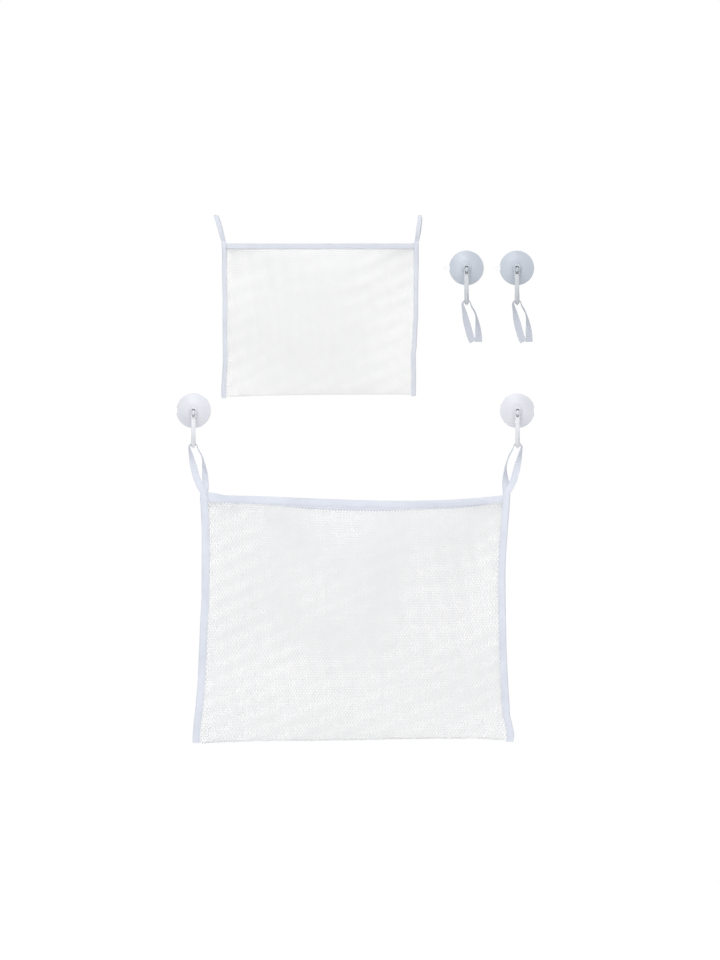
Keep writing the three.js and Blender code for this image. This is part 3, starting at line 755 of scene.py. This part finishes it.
def addNet(bag, side):
    pitch = bag.pitch
    rowStep = pitch * math.sqrt(3) / 2
    half = bag.inner(bag.height / 2)
    first = bag.band - knit["underBand"]
    last = bag.height + foldSpacing * math.pi / 4 + rowStep * knit["pastFold"]
    rows = int((last - first) / rowStep) + 3
    columns = int(2 * (half + knit["underTape"]) / pitch) + 4
    j, i = np.meshgrid(np.arange(rows), np.arange(columns), indexing="ij")
    cx = (i - columns / 2 + 0.5 * (j % 2) + 0.25) * pitch
    cs = first + (j - 1) * rowStep
    active = (np.abs(cx) < half + knit["underTape"]) & (cs > first) & (cs < last)
    active[0, :] = active[-1, :] = False
    active[:, 0] = active[:, -1] = False

    # Six points round each hole, with finer strands beside the tapes
    beside = smoothstep(half - np.abs(cx), 0, knit["openEdge"])
    share = knit["edgeShare"] + (1 - knit["edgeShare"]) * beside
    if side < 0:  # the back band's edge shows through below the front band
        u = np.clip(cx / half, -1, 1)
        strip = bag.rise(u, bag.band, 0) - bag.rise(u, bag.band, 1)
        under = 1 - smoothstep(cs - bag.band, *knit["bandEdge"])
        share = share * (1 - (1 - knit["bandShare"]) * under * np.clip(strip / knit["bandStrip"], 0, 1))
    share = share * (1 + (knit["foldShare"] - 1) * smoothstep(cs, bag.height - knit["foldEdge"], bag.height))
    corner = pitch / math.sqrt(3)
    hx, low, high = (bare - (bare - size) * share for bare, size in zip((pitch / 2, corner / 2, corner), bag.hole))
    rimX = np.stack([0 * hx, hx, hx, 0 * hx, -hx, -hx], -1) + cx[..., None]
    rimS = np.stack([-high, -low, low, high, low, -low], -1) + cs[..., None]
    ridgeX = np.stack([cx, cx], -1)
    ridgeS = np.stack([cs - corner, cs + corner], -1)

    def hung(x, s):
        return netSurface(bag, side, *netWarp(bag, side, x, s))

    rim = hung(rimX, rimS)
    ridge = hung(ridgeX, ridgeS)
    step = 0.5
    across = hung(ridgeX + step, ridgeS) - hung(ridgeX - step, ridgeS)
    along = hung(ridgeX, ridgeS + step) - hung(ridgeX, ridgeS - step)
    normal = np.cross(across, along)
    normal /= np.linalg.norm(normal, axis=-1, keepdims=True)
    normal *= np.where(normal[..., 1:2] * side < 0, -1, 1)
    ridge = ridge + normal * knit["ridge"]

    cell = j * columns + i
    odd = j % 2

    def at(dj, di):
        jj = np.clip(j + dj, 0, rows - 1)
        ii = np.clip(i + di, 0, columns - 1)
        return jj * columns + ii

    upRight, upLeft = at(-1, odd), at(-1, odd - 1)
    downRight = at(1, odd)
    right = at(0, 1)
    alive = active.ravel()
    rimAt = lambda c, k: c * 6 + k
    rims = rows * columns * 6
    topOf = lambda c: rims + c * 2
    footOf = lambda c: rims + c * 2 + 1
    north, northEast, southEast, south, southWest, northWest = range(6)

    # Each cell owns three strands: other cell, the two ridge ends, own and other rim points, third cells
    strands = [
        (right, footOf(upRight), topOf(downRight), northEast, southEast, northWest, southWest, upRight, downRight),
        (upRight, topOf(cell), footOf(upRight), north, northEast, southWest, south, upLeft, right),
        (upLeft, topOf(cell), footOf(upLeft), north, northWest, southEast, south, upRight, at(0, -1)),
    ]
    quads = []
    triangles = []
    for k, (other, endA, endB, ownA, ownB, farA, farB, thirdA, thirdB) in enumerate(strands):
        use = alive[cell] & alive[other]
        c, o = cell[use], other[use]
        a1, a2 = rimAt(c, ownA), rimAt(c, ownB)
        b1, b2 = rimAt(o, farA), rimAt(o, farB)
        e1, e2 = endA[use], endB[use]
        flip = k == 2
        for quad in ((e1, e2, a2, a1), (e2, e1, b1, b2), (a1, a2, b2, b1)):
            quads.append(np.stack(quad[::-1] if flip else quad, -1))
        for third, point, own, far, turned in ((thirdA, e1, a1, b1, False), (thirdB, e2, a2, b2, True)):
            bare = ~alive[third[use]]
            tri = np.stack([point, own, far], -1)[bare]
            triangles.append(tri[:, ::-1] if turned != flip else tri)
    meetings = [  # three cells round one ridge end, with the rim point of each
        ((cell, north), (upLeft, southEast), (upRight, southWest)),
        ((upRight, south), (right, northWest), (cell, northEast)),
    ]
    for meeting in meetings:
        whole = np.logical_and.reduce([alive[c] for c, k in meeting])
        triangles.append(np.stack([rimAt(c[whole], k) for c, k in meeting], -1))

    points = np.concatenate([rim.reshape(-1, 3), ridge.reshape(-1, 3)])
    flatX = np.concatenate([rimX.ravel(), ridgeX.ravel()])
    flatS = np.concatenate([rimS.ravel(), ridgeS.ravel()])
    faces = [np.concatenate(quads), np.concatenate(triangles)]
    used = np.unique(np.concatenate([f.ravel() for f in faces]))
    lookup = np.full(len(points), -1)
    lookup[used] = np.arange(len(used))
    faces = [lookup[f] for f in faces]
    flat = np.stack([flatX, flatS], -1)[used]
    low, high = flat.min(0), flat.max(0)
    word = "front" if side < 0 else "back"
    net = clothObject(
        f"{bag.name}_net_{word}", bag.placed(points[used]), faces[0].tolist() + faces[1].tolist(), netYarn[bag.name],
        {"OFBake": (flat - low) / (high - low)})
    faceOutwards(net)
    smooth(net, knit["crisp"])  # soft over a strand's ridge, crisp at its edges
    print(net.name, 2 * len(faces[0]) + len(faces[1]), "triangles")
    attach(net, bag.body)
    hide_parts(f"{bag.name}_net")


# Tape: woven strip folded lengthwise, with its sewn edge at the open side

tape = {
    "groove": 0.14, "seam": 1.7, "foldSteps": 9, "wave": 0.22, "waveLength": 37.0, "slot": 0.06, "bend": 1.7,
    "lip": 0.35, "lipSunk": 0.32, "edgeSunk": 0.03, "grooveHalf": 0.55, "flatFrom": 1.6, "flatPast": 0.3,
    "flatSteps": 4, "innerEdge": 0.1, "innerBend": 0.2, "innerSteps": 5, "mapUnit": 10,
}


def foldedOutline(width, half, leafThick, seam):
    # Closed outline of a folded tape: first number from the fold inwards, second the depth
    slot = max(half - leafThick, tape["slot"])
    bend = min(half, tape["bend"])
    groove = tape["groove"] * min(1.0, leafThick / leaf)
    sewn, beside = width - seam, tape["grooveHalf"]
    flats = [width, width - tape["lip"], sewn + beside, sewn, sewn - beside]
    sunk = [leafThick * tape["lipSunk"], tape["edgeSunk"], 0.0, groove, 0.0]
    spread = np.linspace(sewn - tape["flatFrom"], bend + tape["flatPast"], tape["flatSteps"])
    front = [(a, -(half - d)) for a, d in zip(flats, sunk)] + [(a, -half) for a in spread]
    inner = [(width - leafThick * tape["innerEdge"], slot), ((width + bend) / 2, slot),
             (bend + tape["innerBend"], slot)]
    turn = math.pi / 2

    def fold(deep, tall, angles):
        return [(bend - deep * math.cos(angle), tall * math.sin(angle)) for angle in angles]

    def mirrored(leg):
        return [(a, -b) for a, b in reversed(leg)]

    outside = fold(bend, half, np.linspace(-turn, turn, tape["foldSteps"]))
    inside = fold(max(bend - leafThick, tape["innerBend"]), slot, np.linspace(turn, -turn, tape["innerSteps"]))
    return np.array(front + outside + mirrored(front) + inner + inside + mirrored(inner))


def sweptTape(name, rings, along, around, material):
    # A closed solid through rings of points; along and around are lengths for the weave, in millimetres
    count = len(rings[0])
    total = len(rings)
    points = np.concatenate(rings)
    faces = []
    for k in range(total - 1):
        for m in range(count):
            n = (m + 1) % count
            faces.append((k * count + m, k * count + n, (k + 1) * count + n, (k + 1) * count + m))
    faces.append(tuple(range(count - 1, -1, -1)))
    faces.append(tuple((total - 1) * count + m for m in range(count)))
    u = np.repeat(np.asarray(along, float), count)
    v = np.tile(np.asarray(around, float), total)
    tall = np.stack([u, v], -1)
    spread = (tall - tall.min(0)) / (tall.max(0) - tall.min(0))
    obj = clothObject(name, points, faces, material, {"tapeMap": tall / tape["mapUnit"], "OFBake": spread[:, ::-1]})
    faceOutwards(obj)
    return obj


# Stitches: short plump threads in a row along a seam

sewing = {
    "length": 2.5, "gap": 0.55, "width": 0.5, "height": 0.3, "sides": 6, "sunk": 0.02,
    "rings": [(-0.42, 0.72), (0.0, 1.0), (0.42, 0.72)], "plump": 0.6, "bury": 0.5,
}


def stitchRow(path, normals):
    # path and normals in millimetres along a seam; gives points and faces of its stitches
    path = np.asarray(path, float)
    normals = np.asarray(normals, float)
    reach = reachOf(path)
    pitch = sewing["length"] + sewing["gap"]
    count = max(1, int(reach[-1] / pitch))
    sides = sewing["sides"]
    points, faces = [], []
    for k in range(count):
        centre = (k + 0.5) * reach[-1] / count
        ends = [pointsAt(centre + e * sewing["length"] / 2, reach, path) for e in (-1, 1)]
        up = pointsAt(centre, reach, normals)
        along = ends[1] - ends[0]
        long = np.linalg.norm(along)
        along /= long
        up -= along * up.dot(along)
        up /= np.linalg.norm(up)
        across = np.cross(along, up)
        middle = (ends[0] + ends[1]) / 2
        base = len(points)
        for t, size in sewing["rings"]:
            for m in range(sides):
                angle = 2 * math.pi * m / sides
                points.append(middle + along * t * long
                              + across * math.cos(angle) * sewing["width"] / 2 * size
                              + up * (math.sin(angle) * sewing["height"] * size * sewing["plump"]))
        points.append(ends[0] - up * sewing["height"] * sewing["bury"])
        points.append(ends[1] - up * sewing["height"] * sewing["bury"])
        for m in range(sides):
            n = (m + 1) % sides
            for ring in range(2):
                a = base + ring * sides
                faces.append((a + m, a + n, a + sides + n, a + sides + m))
            faces.append((base + 3 * sides, base + n, base + m))
            faces.append((base + 3 * sides + 1, base + 2 * sides + m, base + 2 * sides + n))
    return points, faces


def stitchObject(name, seams, body):
    points, faces = [], []
    for path, normals in seams:
        more, moreFaces = stitchRow(path, normals)
        faces += [tuple(len(points) + k for k in face) for face in moreFaces]
        points += more
    obj = clothObject(name, np.array(points), faces, threadYarn)
    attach(obj, body)


# Bands over the mouth and bindings up the sides

mouth = {"half": 1.3, "tuck": 2.2, "seamSteps": 160, "still": 0.1}


def bothFaces(bag, steps, place):
    # Seams on the two faces of a tape; place gives a point from a step and a face
    seams = []
    for face in (-1, 1):
        path = [place(step, face) for step in steps]
        seams.append((bag.placed(path), np.tile((0, face, 0), (len(path), 1))))
    return seams


def ripple(bag, side, u):
    # A band waves in and out along the mouth and lies still at its ends
    wave = tape["wave"] * math.sin(u * bag.top / tape["waveLength"] + side)
    return wave * smoothstep(1 - abs(u), 0, mouth["still"])


def addBand(bag, side):
    word = "front" if side < 0 else "back"
    half = mouth["half"]
    outline = foldedOutline(bag.band, half, leaf, tape["seam"])
    tuck = mouth["tuck"] / bag.inner(0)
    us = np.linspace(-1 - tuck, 1 + tuck, bag.columns)
    q, b = outline[:, 0], outline[:, 1]
    rings = []
    for u in us:
        inside = np.clip(u, -1, 1)
        x, y, z = bag.layer(side, np.full_like(q, inside), q)
        x = x + (u - inside) * bag.inner(0)
        rings.append(np.stack([x, y + b + ripple(bag, side, u) * (q / bag.band), z], -1))
    name = f"{bag.name}_{word}_band_tape"
    # the back band takes the lighter tape copy: painted light against its shade
    obj = sweptTape(name, [bag.placed(r) for r in rings], us * bag.top / 2, reachOf(outline),
                    tapeCloth[bag.cloth if side < 0 else "back"])
    if bag.lift[0] and side < 0:  # a front band with a raised corner gets its placing baked into its mesh and is not attached to the bag
        x, y, z = bag.place
        above, below = ((x * mm, y * mm, (z + up) * mm) for up in bag.stays)
        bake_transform(obj)
        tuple(above)
        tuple(below)
    else:
        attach(obj, bag.body)
    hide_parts(f"{bag.name}_{word}_band")
    at = bag.band - tape["seam"]

    def sewn(u, face):
        x, y, z = bag.layer(side, np.array(u), np.array(at))
        return x, y + face * (half - sewing["sunk"]) + ripple(bag, side, u) * at / bag.band, z

    2 * bag.inner(0) * (1 + tuck) * mm
    return bothFaces(bag, np.linspace(-1, 1, mouth["seamSteps"]), sewn)


binding = {
    "lap": 0.75, "lapLength": 21, "pinch": 1.3, "pinchLength": 4, "endRound": 2.6, "endCut": 1.7, "endPast": 0.6,
    "topTurn": (86, 72, 56, 38, 18), "endTurn": (20, 40, 60, 76, 90), "rings": 100, "thinnest": 0.25,
    "leafShare": 0.8, "uneven": (0.12, 11.0), "swayEase": (12, 60), "plainAt": 60.0,
    "seamSteps": 200, "seamEnds": (4, 1.5),
}


def bindingHalf(bag, q):
    # Half the thickness of a side tape; it swells where it laps over the bands and is pinched at its top
    lap = binding["lap"] * (1 - smoothstep(q, bag.band + 1, bag.band + 1 + binding["lapLength"]))
    pinch = binding["pinch"] * (1 - smoothstep(q, 0, binding["pinchLength"]))
    return (bag.spacing(q) + netThick) / 2 + seatGap + leaf + lap - pinch


def bindingPlace(bag, side, q):
    # Outer edge, width and sway of a side tape at a depth
    outer = bag.beside(q) + eased(q, bag.stray[side])
    amount, length = binding["uneven"]
    width = bag.bind + bag.wider[side] + amount * math.sin(q / length + side)
    sway = tape["wave"] * math.sin(q / tape["waveLength"] * 2 + side) * smoothstep(q, *binding["swayEase"])
    return outer, width, sway


def addBinding(bag, side):
    word = "left" if side < 0 else "right"
    end = bag.height + foldSpacing / 2 + binding["endPast"] - bag.trim[side]
    knuckle = float(bindingHalf(bag, 0.0))
    plain = float(bindingHalf(bag, binding["plainAt"]))
    above = -knuckle * np.sin(np.radians(binding["topTurn"]))
    nearEnd = end - binding["endRound"] * (1 - np.sin(np.radians(binding["endTurn"])))
    qs = np.concatenate([above, np.linspace(0, end - binding["endRound"], binding["rings"]), nearEnd])
    rings = []
    for q in qs:
        up = max(0.0, -q) / knuckle
        half = max(float(bindingHalf(bag, max(q, 0.0))) * math.sqrt(max(0.0, 1 - up * up)), binding["thinnest"])
        outer, width, sway = bindingPlace(bag, side, q)
        outline = foldedOutline(width, half, min(leaf, half * binding["leafShare"]), tape["seam"])
        late = max(0.0, 1 - (end - q) / binding["endRound"])
        inward = np.maximum(outline[:, 0], binding["endCut"] * (1 - math.sqrt(max(0.0, 1 - late * late))))
        x = bag.middle(max(q, 0.0)) + side * (outer - inward)
        rings.append(np.stack([x, outline[:, 1] + sway, np.full(len(x), -q)], -1))
    around = reachOf(foldedOutline(bag.bind, plain, leaf, tape["seam"]))
    obj = sweptTape(f"{bag.name}_{word}_binding_tape", [bag.placed(r) for r in rings], qs, around,
                    tapeCloth[bag.cloth])
    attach(obj, bag.body)
    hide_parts(f"{bag.name}_{word}_binding")

    def sewn(q, face):
        outer, width, sway = bindingPlace(bag, side, q)
        x = bag.middle(q) + side * (outer - width + tape["seam"])
        return x, face * (float(bindingHalf(bag, q)) - sewing["sunk"]) + sway, -q

    first, beforeEnd = binding["seamEnds"]
    return bothFaces(bag, np.linspace(first, end - beforeEnd, binding["seamSteps"]), sewn)


for bag in bagOf.values():
    seams = []
    for side in (-1, 1):
        addNet(bag, side)
        seams += addBand(bag, side)
        seams += addBinding(bag, side)
    stitchObject(f"{bag.name}_bag_stitches", seams, bag.body)
    print(bag.name, "bag sewn")

# Hanging loops: folded tape over the bar of a hook, edge-on there and twisted flat on its way down

hungLoop = {
    "width": 10.0, "half": 0.6, "leaf": 0.5, "seam": 1.3,
    "drop": 66.0, "spareDrop": 54.2, "footRise": 3.05, "arch": 5.9, "crownZ": -52.695, "midY": -20.9, "lap": 0.62,
    "outer": [(2, -5.5), (6, -4.6), (12, -3.2), (18.5, -2.0), (31, 1.2), (44, 4.8), (50.5, 7.3), (57, 10.4),
              (62.5, 13.8), (66, 15.7)],  # drop and sideways place down each leg
    "inner": [(3, 7.0), (11, 11.6), (21, 15.0), (30, 16.7), (40, 17.2), (50, 17.3), (58, 17.2), (66, 16.3)],
    "outerTwist": (-14.0, 46.0), "innerTwist": (14.0, 68.0), "innerLean": 6, "leanAt": (-3, 8),
    "curl": 2.0, "curlAt": (14, 28, 38, 50),
    "hidden": 4.2, "sewnIn": 0.6, "step": 1.1, "tack": (1.5, 3.0), "tackPoints": 5,
    "archAt": (180, 150, 120, 90, 60, 30), "footClear": 2,
}


def catmull(points, perSpan=10):
    points = np.asarray(points, float)
    ends = np.concatenate([[2 * points[0] - points[1]], points, [2 * points[-1] - points[-2]]])
    line = []
    for k in range(1, len(ends) - 2):
        a, b, c, d = ends[k - 1:k + 3]
        for t in np.linspace(0, 1, perSpan, endpoint=False):
            line.append(0.5 * (2 * b + (c - a) * t + (2 * a - 5 * b + 4 * c - d) * t * t
                               + (3 * b - a - 3 * c + d) * t ** 3))
    line.append(ends[-2])
    return np.array(line)


def respaced(line, step):
    reach = reachOf(line)
    at = np.linspace(0, reach[-1], int(reach[-1] / step) + 1)
    return pointsAt(at, reach, line), at


def ribbonFrames(line, across):
    tangent = np.gradient(line, axis=0)
    tangent /= np.linalg.norm(tangent, axis=1, keepdims=True)
    wide = np.array([across(p, k < len(line) / 2) for k, p in enumerate(line)], float)
    wide -= tangent * (wide * tangent).sum(1, keepdims=True)
    wide /= np.linalg.norm(wide, axis=1, keepdims=True)
    return wide, np.cross(tangent, wide)


def addRibbon(name, line, along, across, size, cloth, body, node, foldSide, curl=None):
    # curl turns the edge on the ribbon's near side up, by so many millimetres at each ring
    outline = foldedOutline(size["width"], size["half"], size["leaf"], size["seam"])
    wide, thick = ribbonFrames(line, across)
    aside = (outline[:, 0] - size["width"] / 2) * foldSide
    turned = np.maximum(0, -aside / (size["width"] / 2)) ** 2
    rings = []
    for k, (p, w, t) in enumerate(zip(line, wide, thick)):
        raised = outline[:, 1] + (turned * curl[k] if curl is not None else 0)
        rings.append(p + aside[:, None] * w + raised[:, None] * t)
    obj = sweptTape(name, rings, along, reachOf(outline), cloth)
    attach(obj, body)
    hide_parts(node)
    seams = []
    for face in (-1, 1):
        offset = (size["width"] / 2 - size["seam"]) * foldSide
        seams.append((line + offset * wide + face * (size["half"] - sewing["sunk"]) * thick, face * thick))
    return seams


def addHungLoop(name, hanger, toward, end, body, node, hidden):
    size = hungLoop

    def dropOf(p):
        return hanger["z"] + size["crownZ"] - p[2]

    def place(x, layer, drop):
        twist = size["outerTwist"] if layer < 0 else size["innerTwist"]
        y = layer * size["lap"] * smoothstep(drop, *twist)
        return (hanger["x"] + toward * x, size["midY"] + y, hanger["z"] + size["crownZ"] - drop)

    def leg(word, layer):
        drops, sides = zip(*size[word])
        points = [place(x, layer, drop) for drop, x in size[word] if drop < end - size["footClear"]]
        foot = np.interp(end, drops, sides)
        points.append(place(foot, layer, end))
        if hidden:
            points.append(place(foot, layer, end + hidden))
        return points

    arch = []
    for degrees in size["archAt"]:
        angle = math.radians(degrees)
        arch.append(place(size["arch"] * math.cos(angle), 0, -size["arch"] * math.sin(angle)))
    line, along = respaced(catmull([*leg("outer", -1)[::-1], *arch, *leg("inner", 1)]), size["step"])

    def across(p, outerLeg):
        twist = size["outerTwist"] if outerLeg else size["innerTwist"]
        lean = 0 if outerLeg else math.radians(size["innerLean"]) * smoothstep(dropOf(p), *size["leanAt"])
        angle = (math.pi / 2 - lean) * (1 - smoothstep(dropOf(p), *twist))
        return (toward * math.cos(angle), -math.sin(angle), 0)

    drops = np.array([dropOf(p) for p in line])
    a, b, c, d = size["curlAt"]
    curl = size["curl"] * smoothstep(drops, a, b) * (1 - smoothstep(drops, c, d))
    curl[:len(line) // 2] = 0
    # spare loops take the darker tape copy: painted shade
    seams = addRibbon(name, line, along, across, size, tapeCloth[hanger["kind"]], body, node,
                      1, curl)
    if hidden:  # no stitches where the feet are sewn in
        seen = drops < end + size["sewnIn"]
        seams = [(path[seen], out[seen]) for path, out in seams]
    else:  # a free loop is closed by two rows of stitches through both ends
        inner, outer = (np.interp(end, *zip(*size[word])) for word in ("inner", "outer"))
        for up in size["tack"]:
            xs = np.linspace(inner - size["width"] / 2, outer + size["width"] / 2, size["tackPoints"])
            row = np.array([place(x, -1, end - up) for x in xs]) - (0, size["half"] - sewing["sunk"], 0)
            seams.append((row, np.tile((0, -1, 0), (len(row), 1))))
    stitchObject(name + "_stitches", seams, body)


for word, toward in (("left", 1), ("right", -1)):
    addHungLoop(f"large_{word}_loop_tape", hangers[word], toward, hungLoop["drop"],
                f"{word}_loop", f"large_{word}_loop", hungLoop["hidden"])
for letter in "ab":
    addHungLoop(f"spare_loop_{letter}_tape", hangers["spare" + letter.upper()], 1, hungLoop["spareDrop"],
                f"spare_loop_{letter}", f"spare_loop_{letter}", 0)
print("hung loops twisted")

# The small bag's own loops stand up above its corners

smallLoop = {
    "width": 6.3, "half": 0.6, "leaf": 0.5, "seam": 1.1, "length": {"left": 37.3, "right": 36.6}, "foot": 1.0,
    "belly": 4.2, "taper": 0.35, "lean": {"left": 16.1, "right": -7}, "outward": {"left": 1.9, "right": 1.0},
    "lap": 0.62, "step": 0.9, "aside": 1.1, "asideEnd": 0.9, "hidden": 4.2, "knee": (0.3, 0.7),
    "shares": (0, 0.12, 0.35, 0.65, 0.88),
}


def addSmallLoop(word):
    bag = bagOf["small"]
    size = smallLoop
    side = -1 if word == "left" else 1
    free = size["length"][word] - size["foot"]
    slope = math.tan(math.radians(size["lean"][word]))
    tailX = side * (bag.top - bag.bind) / 2
    footX = tailX + side * size["outward"][word]

    def place(layer, s):
        out = layer * (size["lap"] + size["belly"] * math.sin(math.pi * s) * (1 - size["taper"] * s))
        aside = size["aside"] * max(layer, 0) * math.sin(math.pi * min(1, s * size["asideEnd"]))
        return (footX - s * free * slope + aside, out, hungLoop["footRise"] + size["foot"] + s * free)

    tailShare, footShare = size["knee"]
    kneeX = tailShare * tailX + footShare * footX
    foot = [(x, layer * size["lap"], hungLoop["footRise"] - drop) for x, layer, drop in
            ((tailX, -1, size["hidden"]), (kneeX, -1, 0), (kneeX, 1, 0), (tailX, 1, size["hidden"]))]
    points = [foot[0], foot[1], *[place(-1, s) for s in size["shares"]], place(0, 1),
              *[place(1, s) for s in reversed(size["shares"])], foot[2], foot[3]]
    line, along = respaced(catmull(bag.placed(points)), size["step"])
    name = f"small_{word}_loop_tape"
    seams = addRibbon(name, line, along, lambda p, firstLeg: (1, 0, 0), size, tapeCloth["small"], bag.body,
                      f"small_{word}_loop", -side)
    stitchObject(name + "_stitches", seams, bag.body)


for word in ("left", "right"):
    addSmallLoop(word)
print("small loops raised")
